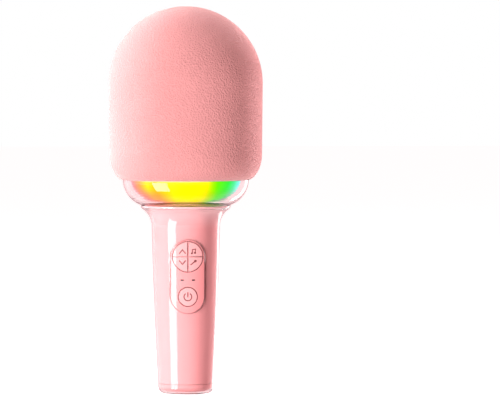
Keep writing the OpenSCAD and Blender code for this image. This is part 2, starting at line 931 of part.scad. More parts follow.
module charge_socket() {
  color(steel) {
    difference() {
      translate([-socket_w / 2, -socket_d / 2, socket_z]) cube([socket_w, socket_d, socket_h]);
      translate([-socket_w / 2 + 0.35, -socket_d / 2 + 0.35, socket_z - 1])
        cube([socket_w - 0.7, socket_d - 0.7, socket_h + 0.4]);
    }
    translate([-1.8, 0.1, socket_z + 0.6]) cube([3.6, 0.5, socket_h - 1]);
  }
}

// ---- wiring --------------------------------------------------------------------------------------

speaker_route = [
  [20, 0, terminal_z + 0.2], [19.9, 0, 137], [18.6, 0, 132], [14, 0, 129.4], [6, 0, 129.2],
  [2.2, 0, 126.6], [2, 0, 120], [1.6, 0, 108], [0.4, -2.5, 100], [0, -5.4, 96]
];
capsule_route = [
  [0, 0, 185.2], [0, 0, 181.5], [-3, 0, 179.6], [-12, 0, 179.4], [-23, 0, 179.2],
  [-26.2, 0, 176], [-26.2, 0, 164], [-26.2, 0, 152], [-26, 0, 146], [-23.4, 0, 137],
  [-18, 0, 130.6], [-8, 0, 129.2], [-2.2, 0, 126.6], [-2, 0, 120], [-3, 0, 108],
  [-4, -2.5, 100], [-3.9, -5.4, 96]
];
led_route = [
  [12.6, 0, 119.8], [12.2, 0, 116.6], [9, 0, 115.8], [5, 0, 114.6], [4.4, 0, 108],
  [4.2, -2.5, 100], [3.9, -5.4, 96]
];
battery_route = [
  [-2, 2.5, 77.1], [-2, 2.2, 79], [-2.4, 0.4, 81], [-3.1, -2.2, 81.8], [-3.4, -5, 81.6]
];
charge_route = [
  [0, -7.4, 7.3], [0, -8.4, 9.2], [0, -10.6, 12], [0, -10.9, 20], [0, -10.9, 32], [0, -10.2, 41.2]
];
across_y = [0, 1, 0];
across_x = [1, 0, 0];

module speaker_leads() { color([0.75, 0.1, 0.1]) wire_pair(speaker_route, across_y, across_x); }

module capsule_leads() { color([0.15, 0.15, 0.16]) wire_pair(capsule_route, across_y, across_x); }

module led_leads() { color([0.9, 0.8, 0.2]) wire_pair(led_route, across_y, across_x); }

module battery_leads() {
  color([0.75, 0.1, 0.1]) wire_pair(battery_route, across_x, across_x);
}

module charge_leads() { color([0.15, 0.15, 0.16]) wire_pair(charge_route, across_x, across_x); }

foam_windscreen();
grille_cage();
grille_mesh();
cage_screws();
mic_capsule();
capsule_boot();
capsule_bridge();
bridge_screws();
speaker_enclosure();
speaker_gasket();
speaker_frame();
speaker_magnet();
speaker_surround();
speaker_cone();
dust_cap();
voice_coil();
speaker_screws();
head_chassis();
light_cup();
lit_bowl();
led_board();
rgb_leds();
led_screws();
neck_screws();
handle_skin();
handle_core();
key_panel();
indicator_lenses();
key_up();
key_down();
key_mode();
key_effect();
power_key();
key_membrane();
main_board();
key_switches();
board_chips();
wire_sockets();
board_screws();
battery_cell();
battery_cradle();
base_cap();
cap_skin();
base_screws();
charge_board();
charge_socket();
speaker_leads();
capsule_leads();
led_leads();
battery_leads();
charge_leads();
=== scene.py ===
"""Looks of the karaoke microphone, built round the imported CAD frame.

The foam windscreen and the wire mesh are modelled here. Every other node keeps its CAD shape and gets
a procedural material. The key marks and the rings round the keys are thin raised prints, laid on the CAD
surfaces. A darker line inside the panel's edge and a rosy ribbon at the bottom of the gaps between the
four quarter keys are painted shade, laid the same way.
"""

import json
import math

import bmesh
import bpy
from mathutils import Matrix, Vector, noise
from mathutils.bvhtree import BVHTree

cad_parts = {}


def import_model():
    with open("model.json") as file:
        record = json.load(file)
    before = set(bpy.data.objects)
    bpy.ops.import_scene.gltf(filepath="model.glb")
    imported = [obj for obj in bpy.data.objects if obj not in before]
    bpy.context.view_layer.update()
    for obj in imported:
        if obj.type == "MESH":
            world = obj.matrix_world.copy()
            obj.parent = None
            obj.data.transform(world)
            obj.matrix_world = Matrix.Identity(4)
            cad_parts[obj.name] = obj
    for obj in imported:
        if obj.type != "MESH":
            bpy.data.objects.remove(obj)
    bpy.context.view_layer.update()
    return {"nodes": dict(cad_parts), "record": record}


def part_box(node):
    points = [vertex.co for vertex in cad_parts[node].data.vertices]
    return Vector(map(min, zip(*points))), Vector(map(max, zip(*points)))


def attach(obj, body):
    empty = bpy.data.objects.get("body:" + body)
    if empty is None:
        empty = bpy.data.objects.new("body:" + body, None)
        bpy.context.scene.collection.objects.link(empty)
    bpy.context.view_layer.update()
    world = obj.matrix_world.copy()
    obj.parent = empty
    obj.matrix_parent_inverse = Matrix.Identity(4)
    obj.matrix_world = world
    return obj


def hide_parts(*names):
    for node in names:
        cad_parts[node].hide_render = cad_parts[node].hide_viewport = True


MM = 0.001

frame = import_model()


# ---- materials -----------------------------------------------------------------------------------


def start_material(name):
    """A new material, its node tree and its Principled shader."""
    material = bpy.data.materials.new(name)
    material.use_nodes = True
    tree = material.node_tree
    return material, tree, tree.nodes["Principled BSDF"]


def add(tree, kind, **sockets):
    """A node of one kind with some of its input sockets set. An underscore stands for a space."""
    node = tree.nodes.new(kind)
    for key, value in sockets.items():
        node.inputs[key.replace("_", " ")].default_value = value
    return node


def link(tree, out_socket, in_socket):
    tree.links.new(out_socket, in_socket)


def object_place(tree):
    """The surface point in the row frame, in metres."""
    return tree.nodes.new("ShaderNodeTexCoord").outputs["Object"]


def noise_at(tree, place, per_mm, detail=3.0, roughness=0.55):
    """Soft noise, with per_mm features in a millimetre."""
    texture = add(tree, "ShaderNodeTexNoise", Scale=per_mm / MM, Detail=detail, Roughness=roughness)
    link(tree, place, texture.inputs["Vector"])
    return texture.outputs["Fac"]


def cells_at(tree, place, per_mm):
    """Distance to the nearest of many scattered points, with per_mm points in a millimetre."""
    texture = add(tree, "ShaderNodeTexVoronoi", Scale=per_mm / MM)
    link(tree, place, texture.inputs["Vector"])
    return texture.outputs["Distance"]


def ramp(tree, source, stops, smooth="LINEAR"):
    """A colour ramp. stops is a list of (position, colour)."""
    node = tree.nodes.new("ShaderNodeValToRGB")
    node.color_ramp.interpolation = smooth
    marks = node.color_ramp.elements
    while len(marks) < len(stops):
        marks.new(0.5)
    for mark, (position, colour) in zip(marks, stops):
        mark.position = position
        mark.color = (*colour, 1)
    link(tree, source, node.inputs["Fac"])
    return node.outputs["Color"]


def grey_ramp(tree, source, stops):
    """Maps a value through (position, level) stops."""
    return ramp(tree, source, [(position, (level,) * 3) for position, level in stops])


def math_node(tree, operation, a, b=0.0, c=0.0):
    """One Math node. Its inputs are numbers or other nodes' outputs."""
    node = tree.nodes.new("ShaderNodeMath")
    node.operation = operation
    for socket, value in zip(node.inputs, (a, b, c)):
        if isinstance(value, (int, float)):
            socket.default_value = value
        else:
            link(tree, value, socket)
    return node.outputs["Value"]


def grey_range(tree, source, low, high):
    """Maps a 0 to 1 value on to low to high."""
    return math_node(tree, "MULTIPLY_ADD", source, high - low, low)


def shade(tree, source, dark, light):
    """Runs from a dark to a light colour over the middle of a noise's range."""
    return ramp(tree, source, [(0.3, dark), (0.7, light)])


def bump(tree, shader, height, depth_mm, strength=1.0):
    node = add(tree, "ShaderNodeBump", Strength=strength, Distance=depth_mm * MM)
    link(tree, height, node.inputs["Height"])
    link(tree, node.outputs["Normal"], shader.inputs["Normal"])


def scaled(colour, factor):
    return tuple(min(1.0, c * factor) for c in colour)


def moulded_plastic(name, colour, roughness=0.35, coat=0.0, grain_mm=0.25, depth_mm=0.004, vary=0.05):
    """Moulded plastic: faint flow marks in its colour, fine grain in its surface, uneven gloss."""
    material, tree, shader = start_material(name)
    place = object_place(tree)
    flow = noise_at(tree, place, 0.06, 2)
    link(tree, shade(tree, flow, scaled(colour, 1 - vary), colour), shader.inputs["Base Color"])
    grain = noise_at(tree, place, 1 / grain_mm, 2)
    bump(tree, shader, grain, depth_mm)
    patches = noise_at(tree, place, 0.25, 3)
    link(tree, grey_range(tree, patches, roughness * 0.85, roughness * 1.15), shader.inputs["Roughness"])
    shader.inputs["IOR"].default_value = 1.49
    shader.inputs["Coat Weight"].default_value = coat
    shader.inputs["Coat Roughness"].default_value = 0.04
    return material


def plastic_with_painted_flare_light(name, colour, pale, **finish):
    """Moulded plastic painted paler up the flare. This is painted light: it brightens the flare, which
    faces down in the head's shade, and stands in for the light ring's glow in the wall.
    """
    material = moulded_plastic(name, colour, **finish)
    tree = material.node_tree
    base = tree.nodes["Principled BSDF"].inputs["Base Color"]
    parts = tree.nodes.new("ShaderNodeSeparateXYZ")
    link(tree, object_place(tree), parts.inputs["Vector"])
    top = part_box("handle_core")[1].z
    climb = add(tree, "ShaderNodeMapRange", From_Min=top - FLARE_FADE, From_Max=top - FLARE_LIP)
    link(tree, parts.outputs["Z"], climb.inputs["Value"])
    both = add(tree, "ShaderNodeMixRGB", Color2=(*pale, 1))
    link(tree, climb.outputs["Result"], both.inputs["Fac"])
    link(tree, base.links[0].from_socket, both.inputs["Color1"])
    link(tree, both.outputs["Color"], base)
    return material


def brushed_metal(name, colour, roughness=0.32, stretch=(1, 1, 14)):
    """Metal with fine drawn lines, small roughness changes and faint stains."""
    material, tree, shader = start_material(name)
    place = object_place(tree)
    spread = add(tree, "ShaderNodeMapping", Scale=tuple(1 / s for s in stretch))
    link(tree, place, spread.inputs["Vector"])
    lines = noise_at(tree, spread.outputs["Vector"], 6, 3)
    stains = noise_at(tree, place, 0.12, 3)
    link(tree, shade(tree, stains, scaled(colour, 0.86), colour), shader.inputs["Base Color"])
    link(tree, grey_range(tree, lines, roughness * 0.7, roughness * 1.4), shader.inputs["Roughness"])
    bump(tree, shader, lines, 0.006, 0.6)
    shader.inputs["Metallic"].default_value = 1.0
    return material


def soft_rubber(name, colour, roughness=0.75):
    material, tree, shader = start_material(name)
    place = object_place(tree)
    dust = noise_at(tree, place, 0.8, 4)
    link(tree, shade(tree, dust, colour, scaled(colour, 1.35)), shader.inputs["Base Color"])
    bump(tree, shader, noise_at(tree, place, 5, 3), 0.02)
    shader.inputs["Roughness"].default_value = roughness
    shader.inputs["Sheen Weight"].default_value = 0.15
    return material


def paper_pulp(name, colour):
    """Pressed pulp of a loudspeaker cone, with matted fibres."""
    material, tree, shader = start_material(name)
    place = object_place(tree)
    fibres = noise_at(tree, place, 2.2, 5, 0.7)
    link(tree, shade(tree, fibres, colour, scaled(colour, 1.9)), shader.inputs["Base Color"])
    bump(tree, shader, fibres, 0.06)
    shader.inputs["Roughness"].default_value = 0.9
    return material


def circuit_board(name, mask, copper=(0.16, 0.45, 0.25)):
    """Green solder mask over straight copper tracks, from a brick pattern."""
    material, tree, shader = start_material(name)
    place = object_place(tree)
    turn = tree.nodes.new("ShaderNodeMapping")
    turn.inputs["Rotation"].default_value = (math.radians(90), 0, 0)
    link(tree, place, turn.inputs["Vector"])
    tracks = add(tree, "ShaderNodeTexBrick", Scale=1 / MM, Mortar_Size=0.12, Mortar_Smooth=0.1)
    tracks.inputs["Brick Width"].default_value = 3.7
    tracks.inputs["Row Height"].default_value = 1.3
    tracks.inputs["Color1"].default_value = (*mask, 1)
    tracks.inputs["Color2"].default_value = (*scaled(mask, 0.85), 1)
    tracks.inputs["Mortar"].default_value = (*copper, 1)
    link(tree, turn.outputs["Vector"], tracks.inputs["Vector"])
    link(tree, tracks.outputs["Color"], shader.inputs["Base Color"])
    bump(tree, shader, tracks.outputs["Fac"], 0.03)
    shader.inputs["Roughness"].default_value = 0.32
    return material


def foam_material(name, colour):
    """Fine-celled foam with an embossed, leathery grain and a soft light fuzz on its edges."""
    material, tree, shader = start_material(name)
    place = object_place(tree)
    wrinkles = noise_at(tree, place, 0.85, 3, 0.6)
    pits = cells_at(tree, place, 1.0)
    fine = noise_at(tree, place, 3.5, 2)
    broad = noise_at(tree, place, 0.03, 2)
    tone = math_node(tree, "MULTIPLY_ADD", pits, 0.35, math_node(tree, "MULTIPLY", wrinkles, 0.65))
    tone = math_node(tree, "MULTIPLY_ADD", broad, 0.25, math_node(tree, "MULTIPLY", tone, 0.75))
    link(tree, shade(tree, tone, scaled(colour, 0.86), colour), shader.inputs["Base Color"])
    height = math_node(tree, "MULTIPLY_ADD", fine, 0.25, math_node(tree, "ADD", wrinkles, pits))
    bump(tree, shader, height, FOAM_GRAIN_MM, 0.9)
    link(tree, grey_range(tree, wrinkles, 0.72, 0.9), shader.inputs["Roughness"])
    shader.inputs["Sheen Weight"].default_value = 0.5
    shader.inputs["Sheen Roughness"].default_value = 0.4
    shader.inputs["Sheen Tint"].default_value = (1, 0.86, 0.86, 1)
    shader.inputs["Specular IOR Level"].default_value = 0.25
    return material


def clear_plastic(name, tint, roughness):
    """Clear moulded plastic. Lamps see it as tinted air, so what lies behind it stays lit."""
    material, tree, shader = start_material(name)
    place = object_place(tree)
    shader.inputs["Base Color"].default_value = (*tint, 1)
    shader.inputs["Roughness"].default_value = roughness
    shader.inputs["IOR"].default_value = 1.46
    shader.inputs["Transmission Weight"].default_value = 1.0
    bump(tree, shader, noise_at(tree, place, 0.12, 2), 0.01, 0.3)
    path = tree.nodes.new("ShaderNodeLightPath")
    through = add(tree, "ShaderNodeBsdfTransparent", Color=(*scaled(tint, 0.97), 1))
    both = tree.nodes.new("ShaderNodeMixShader")
    link(tree, path.outputs["Is Shadow Ray"], both.inputs["Fac"])
    link(tree, shader.outputs["BSDF"], both.inputs[1])
    link(tree, through.outputs["BSDF"], both.inputs[2])
    link(tree, both.outputs["Shader"], tree.nodes["Material Output"].inputs["Surface"])
    return material


def rainbow_glow(name, strength):
    """The lit bowl: its colour runs round the ring, and it dims towards its lower edge.

    It is a little brighter in front of each of its lamps.
    """
    material, tree, shader = start_material(name)
    place = object_place(tree)
    parts = tree.nodes.new("ShaderNodeSeparateXYZ")
    link(tree, place, parts.inputs["Vector"])
    x, y, z = (parts.outputs[axis] for axis in "XYZ")
    turn = math_node(tree, "ARCTAN2", x, math_node(tree, "MULTIPLY", y, -1.0))
    whole = math_node(tree, "MULTIPLY_ADD", turn, 0.5 / math.pi, 0.5)
    low, high = (corner.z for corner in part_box("lit_bowl"))
    level = math_node(tree, "DIVIDE", math_node(tree, "SUBTRACT", z, low), high - low)
    rings = [
        ramp(tree, whole, [((degrees + 180) / 360, colour) for degrees, colour in stops])
        for stops in (RAINBOW_LOW, RAINBOW_HIGH)
    ]
    height = ramp(tree, level, [(0.25, (0.0,) * 3), (0.72, (1.0,) * 3)], "EASE")
    both = tree.nodes.new("ShaderNodeMixRGB")
    link(tree, height, both.inputs["Fac"])
    link(tree, rings[0], both.inputs["Color1"])
    link(tree, rings[1], both.inputs["Color2"])
    colour = both.outputs["Color"]
    sector = math_node(tree, "MULTIPLY", turn, LED_COUNT)
    spots = math_node(tree, "MULTIPLY_ADD", math_node(tree, "COSINE", sector), LAMP_SPOT, 1 - LAMP_SPOT)
    edge = ramp(tree, level, [(0.0, (0.75,) * 3), (0.12, (0.88,) * 3), (0.25, (1,) * 3)], "EASE")
    power = math_node(tree, "MULTIPLY", math_node(tree, "MULTIPLY", edge, spots), strength)
    link(tree, colour, shader.inputs["Emission Color"])
    link(tree, power, shader.inputs["Emission Strength"])
    dim = tree.nodes.new("ShaderNodeVectorMath")
    dim.operation = "SCALE"
    dim.inputs["Scale"].default_value = UNLIT_LEVEL
    link(tree, colour, dim.inputs[0])
    link(tree, dim.outputs["Vector"], shader.inputs["Base Color"])
    bump(tree, shader, noise_at(tree, place, 2.0, 2), 0.004)
    shader.inputs["Roughness"].default_value = 0.3
    shader.inputs["Specular IOR Level"].default_value = 0.2
    return material


def shrink_wrap(name, colour):
    """The cell's sleeve: smooth, slightly creased film, with bare metal at both ends."""
    material, tree, shader = start_material(name)
    place = object_place(tree)
    parts = tree.nodes.new("ShaderNodeSeparateXYZ")
    link(tree, place, parts.inputs["Vector"])
    low, high = (corner.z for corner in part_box("battery_cell"))
    level = math_node(tree, "DIVIDE", math_node(tree, "SUBTRACT", parts.outputs["Z"], low), high - low)
    metal = (0.6, 0.6, 0.62)
    bands = [(0.0, metal), (0.012, colour), (0.975, colour), (0.98, metal)]
    link(tree, ramp(tree, level, bands, "CONSTANT"), shader.inputs["Base Color"])
    creases = noise_at(tree, place, 0.5, 4)
    bump(tree, shader, creases, 0.05, 0.5)
    shader.inputs["Roughness"].default_value = 0.28
    return material


# ---- named looks ---------------------------------------------------------------------------------

PINK = (0.82, 0.45, 0.45)
# Painted light: the pale pink that the flare is painted towards its top, to brighten its shade.
FLARE_PAINTED_LIGHT = (0.95, 0.76, 0.76)
PANEL_PINK = (0.74, 0.265, 0.27)
KEY_PINK = (0.76, 0.335, 0.34)
FOAM_PINK = (0.585, 0.246, 0.244)
ROSE = (0.15, 0.032, 0.036)
# Painted shade: the darker line along the inside of the panel's edge, for the gap round the panel.
RIM_SHADE_ROSE = (0.36, 0.13, 0.14)
# Painted shade: the rosy ribbon at the bottom of the gaps between the quarter keys.
GAP_SHADE_ROSE = (0.80, 0.40, 0.41)
CLEAR_PINK = (1.0, 0.86, 0.87)
FOAM_GRAIN_MM = 0.38

# The handle's wall is painted palest FLARE_LIP below its top, as painted light on the shaded flare, and
# has its own pink FLARE_FADE below its top.
FLARE_FADE = 13 * MM
FLARE_LIP = 1.5 * MM

# How the moulded pinks and prints are finished, in moulded_plastic's terms.
WALL_FINISH = {"roughness": 0.35, "grain_mm": 0.9, "depth_mm": 0.002, "vary": 0.02}
KEY_FINISH = {"roughness": 0.10, "coat": 0.3, "grain_mm": 0.35, "depth_mm": 0.002, "vary": 0.02}
INK_FINISH = {"roughness": 0.4, "grain_mm": 0.2, "depth_mm": 0.002}
MATT_FINISH = {"roughness": 0.5, "grain_mm": 0.2, "depth_mm": 0.002}

KEYS = ("key_up", "key_down", "key_mode", "key_effect", "power_key")

# The bowl's glow: its strength, the lamps behind it, how much each lamp shows and how bright it is unlit.
GLOW = 1.15
LED_COUNT = 12
LAMP_SPOT = 0.03
UNLIT_LEVEL = 0.2

# The glow's colours round the ring, by degrees from the front. Positive turns to the right.
RAINBOW_HIGH = [
    (-180, (0.80, 0.02, 0.95)),
    (-120, (1.00, 0.02, 0.30)),
    (-72, (0.97, 0.13, 0.12)),
    (-58, (1.00, 0.38, 0.03)),
    (-47, (1.00, 0.92, 0.00)),
    (-37, (1.00, 0.68, 0.01)),
    (-20, (1.00, 1.00, 0.00)),
    (18, (0.96, 1.00, 0.00)),
    (26, (0.34, 0.98, 0.00)),
    (31, (0.13, 1.00, 0.00)),
    (46, (0.02, 1.00, 0.05)),
    (55, (0.00, 0.90, 0.28)),
    (66, (0.00, 1.00, 0.80)),
    (90, (0.00, 0.75, 1.00)),
    (135, (0.05, 0.16, 1.00)),
    (180, (0.80, 0.02, 0.95)),
]
RAINBOW_LOW = [
    (-180, (0.50, 0.02, 0.55)),
    (-100, (0.80, 0.05, 0.10)),
    (-58, (1.00, 0.17, 0.10)),
    (-46, (1.00, 0.36, 0.03)),
    (-36, (1.00, 0.34, 0.03)),
    (-27, (1.00, 0.58, 0.02)),
    (-17, (1.00, 0.96, 0.00)),
    (14, (1.00, 0.97, 0.00)),
    (25, (0.46, 0.78, 0.00)),
    (35, (0.09, 0.80, 0.01)),
    (45, (0.02, 0.80, 0.03)),
    (56, (0.00, 0.56, 0.19)),
    (75, (0.02, 0.44, 0.36)),
    (120, (0.02, 0.12, 0.55)),
    (180, (0.50, 0.02, 0.55)),
]


def slot_materials():
    """One material for each of the record's material slots.

    Bare numbers after a colour are roughness, coat, grain size in mm, its depth in mm and colour change
    for moulded_plastic, roughness and stretch for brushed_metal, and roughness for the rest.
    """
    white = (0.86, 0.84, 0.80)
    black = (0.025, 0.025, 0.028)
    return {
        "foam": foam_material("foam", FOAM_PINK),
        "cage_plastic": moulded_plastic("cage_plastic", white, 0.45, 0, 0.4, 0.01),
        "grille_aluminium": brushed_metal("grille_aluminium", (0.80, 0.80, 0.82), 0.3, (1, 1, 1)),
        "screw_steel": brushed_metal("screw_steel", (0.55, 0.56, 0.58), 0.3, (4, 4, 1)),
        "capsule_metal": brushed_metal("capsule_metal", (0.78, 0.76, 0.72), 0.28),
        "black_rubber": soft_rubber("black_rubber", (0.03, 0.03, 0.033)),
        "black_plastic": moulded_plastic("black_plastic", black, 0.38, 0, 0.3, 0.012),
        "speaker_steel": brushed_metal("speaker_steel", (0.68, 0.69, 0.71), 0.34, (8, 8, 1)),
        "magnet": moulded_plastic("magnet", (0.05, 0.05, 0.055), 0.5, 0, 0.2, 0.02, 0.3),
        "cone_paper": paper_pulp("cone_paper", (0.025, 0.025, 0.028)),
        "coil_copper": brushed_metal("coil_copper", (0.80, 0.38, 0.20), 0.3, (12, 12, 1)),
        "clear_plastic": clear_plastic("clear_plastic", CLEAR_PINK, 0.015),
        "lit_plastic": rainbow_glow("lit_plastic", GLOW),
        "led_board_white": moulded_plastic("led_board_white", (0.9, 0.9, 0.88), 0.4, 0, 0.5, 0.01),
        "led_lens": moulded_plastic("led_lens", (0.95, 0.93, 0.75), 0.15, 0.5, 0.6, 0.002),
        "pink_gloss": plastic_with_painted_flare_light("pink_gloss", PINK, FLARE_PAINTED_LIGHT, **WALL_FINISH),
        "panel_gloss": moulded_plastic("panel_gloss", PANEL_PINK, **KEY_FINISH),
        "silicone": soft_rubber("silicone", (0.80, 0.76, 0.76), 0.6),
        "circuit_board": circuit_board("circuit_board", (0.02, 0.16, 0.07)),
        "cell_can": shrink_wrap("cell_can", (0.03, 0.16, 0.50)),
        "red_wire": moulded_plastic("red_wire", (0.60, 0.02, 0.02), 0.4, 0, 0.5, 0.01),
        "black_wire": moulded_plastic("black_wire", (0.02, 0.02, 0.022), 0.4, 0, 0.5, 0.01),
        "yellow_wire": moulded_plastic("yellow_wire", (0.85, 0.65, 0.04), 0.4, 0, 0.5, 0.01),
    }


def dress_nodes(materials):
    """Gives each CAD node the material of its slot. The key caps get a paler pink of their own."""
    for part in frame["record"]["subparts"]:
        node = frame["nodes"][part["node"]]
        for own_slot in node.material_slots:
            own_slot.material = materials[part["material_slot"]]
    caps = moulded_plastic("key_caps", KEY_PINK, **KEY_FINISH)
    for key in KEYS:
        for own_slot in frame["nodes"][key].material_slots:
            own_slot.material = caps


def mesh_piece(name, shape, body, material, smooth=True):
    """Turns a bmesh into a piece that rides on a body."""
    mesh = bpy.data.meshes.new(name)
    bmesh.ops.recalc_face_normals(shape, faces=shape.faces)
    shape.to_mesh(mesh)
    shape.free()
    for face in mesh.polygons:
        face.use_smooth = smooth
    piece = bpy.data.objects.new(name, mesh)
    bpy.context.scene.collection.objects.link(piece)
    mesh.materials.append(material)
    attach(piece, body)
    return piece


# ---- foam windscreen -----------------------------------------------------------------------------

FOAM_AROUND = 300
BORE_DOME_STEPS = 60
BORE_WALL_STEPS = 56
LIP_STEPS = 24
SIDE_STEPS = 44
CROWN_STEPS = 88


def arc_points(centre_r, centre_z, radius, start, end, count):
    """Points along an arc in the r-z plane, with angles in degrees."""
    points = []
    for i in range(count + 1):
        a = math.radians(start + (end - start) * i / count)
        points.append((centre_r + radius * math.cos(a), centre_z + radius * math.sin(a)))
    return points


def line_points(start, end, count):
    """Points between two ends, without the ends."""
    return [
        (start[0] + (end[0] - start[0]) * i / count, start[1] + (end[1] - start[1]) * i / count)
        for i in range(1, count)
    ]


def foam_outline():
    """The foam's section from the top of its bore, down, round its lip and up to its crown.

    Both domes stop just short of the axis, where windscreen() closes them.
    """
    low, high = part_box("foam_windscreen")
    crown_r = high.x
    dome_z = high.z - crown_r
    clearance = 1.25 * MM
    bore_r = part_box("grille_cage")[1].x + clearance
    slimmer = 0.4 * MM
    side_r = crown_r - slimmer
    lip_rx, lip_rz = 9.3 * MM, 15 * MM
    lip_end = math.acos((bore_r - (side_r - lip_rx)) / lip_rx)
    lip_z = low.z + lip_rz * math.sin(lip_end)
    bore = arc_points(0, dome_z, bore_r, 89.2, 0, BORE_DOME_STEPS)
    foot = (bore_r, low.z + 1.6 * MM)
    wall = line_points(bore[-1], foot, BORE_WALL_STEPS)
    turn = (bore_r + 0.21 * MM, low.z + 0.55 * MM)
    lip = []
    for i in range(LIP_STEPS + 1):
        a = lip_end * 0.97 * (1 - i / LIP_STEPS)
        lip.append((side_r - lip_rx + lip_rx * math.cos(a), lip_z - lip_rz * math.sin(a)))
    dome = arc_points(0, dome_z, crown_r, 0, 89.3, CROWN_STEPS)
    side = line_points(lip[-1], dome[0], SIDE_STEPS)
    return bore + wall + [foot, turn] + lip + side + dome


def dented(point):
    """Moves a point of the foam's outside inwards by fine and by broad random dents."""
    fine_dent = noise.noise(point * 900) * 0.05
    broad_dent = noise.noise(point * 60) * 0.10
    return point - point.normalized() * abs(fine_dent + broad_dent) * MM


def windscreen(material):
    """Foam shell turned from its section. Fine random dents keep it from looking machined."""
    bore_count = BORE_DOME_STEPS + BORE_WALL_STEPS + 1
    shape = bmesh.new()
    rings = []
    for index, (radius, z) in enumerate(foam_outline()):
        ring = []
        for k in range(FOAM_AROUND):
            a = 2 * math.pi * k / FOAM_AROUND
            point = Vector((radius * math.cos(a), radius * math.sin(a), z))
            if index > bore_count:
                point = dented(point)
            ring.append(shape.verts.new(point))
        rings.append(ring)
    for near, far in zip(rings, rings[1:]):
        for k in range(FOAM_AROUND):
            after = (k + 1) % FOAM_AROUND
            shape.faces.new((near[k], near[after], far[after], far[k]))
    for ring in (rings[0], rings[-1]):
        middle = sum((v.co for v in ring), Vector()) / FOAM_AROUND
        tip = shape.verts.new(middle)
        for k in range(FOAM_AROUND):
            shape.faces.new((ring[k], ring[(k + 1) % FOAM_AROUND], tip))
    piece = mesh_piece("windscreen_foam", shape, "windscreen", material)
    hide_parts("foam_windscreen")


# ---- wire mesh -----------------------------------------------------------------------------------


def weave_tube(shape, radius, low_z, top_z, pitch):
    """Diamonds between two heights on a tube."""
    columns = int(2 * math.pi * radius / pitch)
    rows = int((top_z - low_z) / (pitch / 2))
    step_z = (top_z - low_z) / rows
    grid = []
    for j in range(rows + 1):
        ring = []
        for i in range(columns):
            a = 2 * math.pi * (i + 0.5 * (j % 2)) / columns
            ring.append(shape.verts.new((radius * math.cos(a), radius * math.sin(a), low_z + j * step_z)))
        grid.append(ring)
    for j in range(rows - 1):
        for i in range(columns):
            left, right = (i - 1, i) if j % 2 == 0 else (i, i + 1)
            shape.faces.new(
                (grid[j][i], grid[j + 1][right % columns], grid[j + 2][i], grid[j + 1][left % columns])
            )


def weave_dome(shape, radius, base_z, pitch):
    """Squares of a flat grid pressed on to a half ball."""
    quarter = 0.5 * math.pi * radius
    reach = int(quarter / pitch) + 1
    cap = {}
    for i in range(-reach, reach + 1):
        for j in range(-reach, reach + 1):
            run = math.hypot(i, j) * pitch
            if run > quarter + pitch:
                continue
            angle = min(run / radius, math.pi / 2)
            heading = math.atan2(j, i)
            flat = radius * math.sin(angle)
            spot = (flat * math.cos(heading), flat * math.sin(heading), base_z + radius * math.cos(angle))
            cap[i, j] = shape.verts.new(spot)
    for (i, j), corner in cap.items():
        others = [cap.get(key) for key in ((i + 1, j), (i + 1, j + 1), (i, j + 1))]
        if all(others):
            shape.faces.new((corner, *others))


def wire_mesh(material):
    """A woven screen: a diamond weave rolled into a tube, and a square weave pressed into a dome."""
    half_wall = 0.25 * MM
    pitch = 2.0 * MM
    wire = 0.36 * MM
    join = 0.05 * MM
    low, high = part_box("grille_mesh")
    radius = high.x - half_wall
    dome_z = high.z - high.x
    shape = bmesh.new()
    weave_tube(shape, radius, low.z, dome_z, pitch)
    weave_dome(shape, radius, dome_z, pitch)
    bmesh.ops.remove_doubles(shape, verts=shape.verts, dist=join)
    bmesh.ops.wireframe(
        shape, faces=shape.faces[:], thickness=wire, use_even_offset=True, use_replace=True
    )
    piece = mesh_piece("woven_grille", shape, "housing", material, smooth=False)
    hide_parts("grille_mesh")


# ---- key marks, outlines and gap floor -----------------------------------------------------------

# Prints and painted shade on the panel, in mm: how wide each line is, and how far inside or outside its
# edge it runs. The rim line and the key gap floor are painted shade.
RIM_WIDTH, RIM_INSET = 0.32, 0.20
RING_WIDTH, RING_OUTSET = 0.30, 0.39
GAP_INSET = 0.3
PRINT_STEP = 0.5
MARK_STEP = 0.25
ARROW_WIDTH, NOTE_WIDTH, HAND_MIC_WIDTH, POWER_WIDTH = 0.58, 0.50, 0.62, 0.58


def surface_finder(node):
    """A function that gives the front surface's y at (x, z) on a CAD node."""
    mesh = frame["nodes"][node].data
    tree = BVHTree.FromPolygons(
        [v.co.copy() for v in mesh.vertices], [tuple(p.vertices) for p in mesh.polygons]
    )

    def y_at(x, z):
        return tree.ray_cast(Vector((x, -0.1, z)), Vector((0, 1, 0)))[0].y

    return y_at


def stroke(points, width, closed=False):
    """Pairs of points, left and right of each point of a polyline, widened at its corners."""
    pairs = []
    count = len(points)
    for i, here in enumerate(points):
        before = points[(i - 1) % count] if closed or i > 0 else here
        after = points[(i + 1) % count] if closed or i < count - 1 else here
        first = (here[0] - before[0], here[1] - before[1])
        second = (after[0] - here[0], after[1] - here[1])
        along = Vector((0, 0))
        for part in (first, second):
            if math.hypot(*part) > 0:
                along += Vector(part).normalized()
        along.normalize()
        across = Vector((-along.y, along.x))
        lengthen = 1.0
        if math.hypot(*first) > 0:
            lengthen = 1 / max(0.5, abs(along.dot(Vector(first).normalized())))
        offset = across * width / 2 * lengthen
        pairs.append(((here[0] + offset.x, here[1] + offset.y), (here[0] - offset.x, here[1] - offset.y)))
    return pairs


def fine(points, step, closed=False):
    """Adds points so that no stretch is longer than step."""
    result = []
    corners = points + points[:1] if closed else points
    for start, end in zip(corners, corners[1:]):
        count = max(1, math.ceil(math.dist(start, end) / step))
        result.append(start)
        result += line_points(start, end, count)
    if not closed:
        result.append(points[-1])
    return result


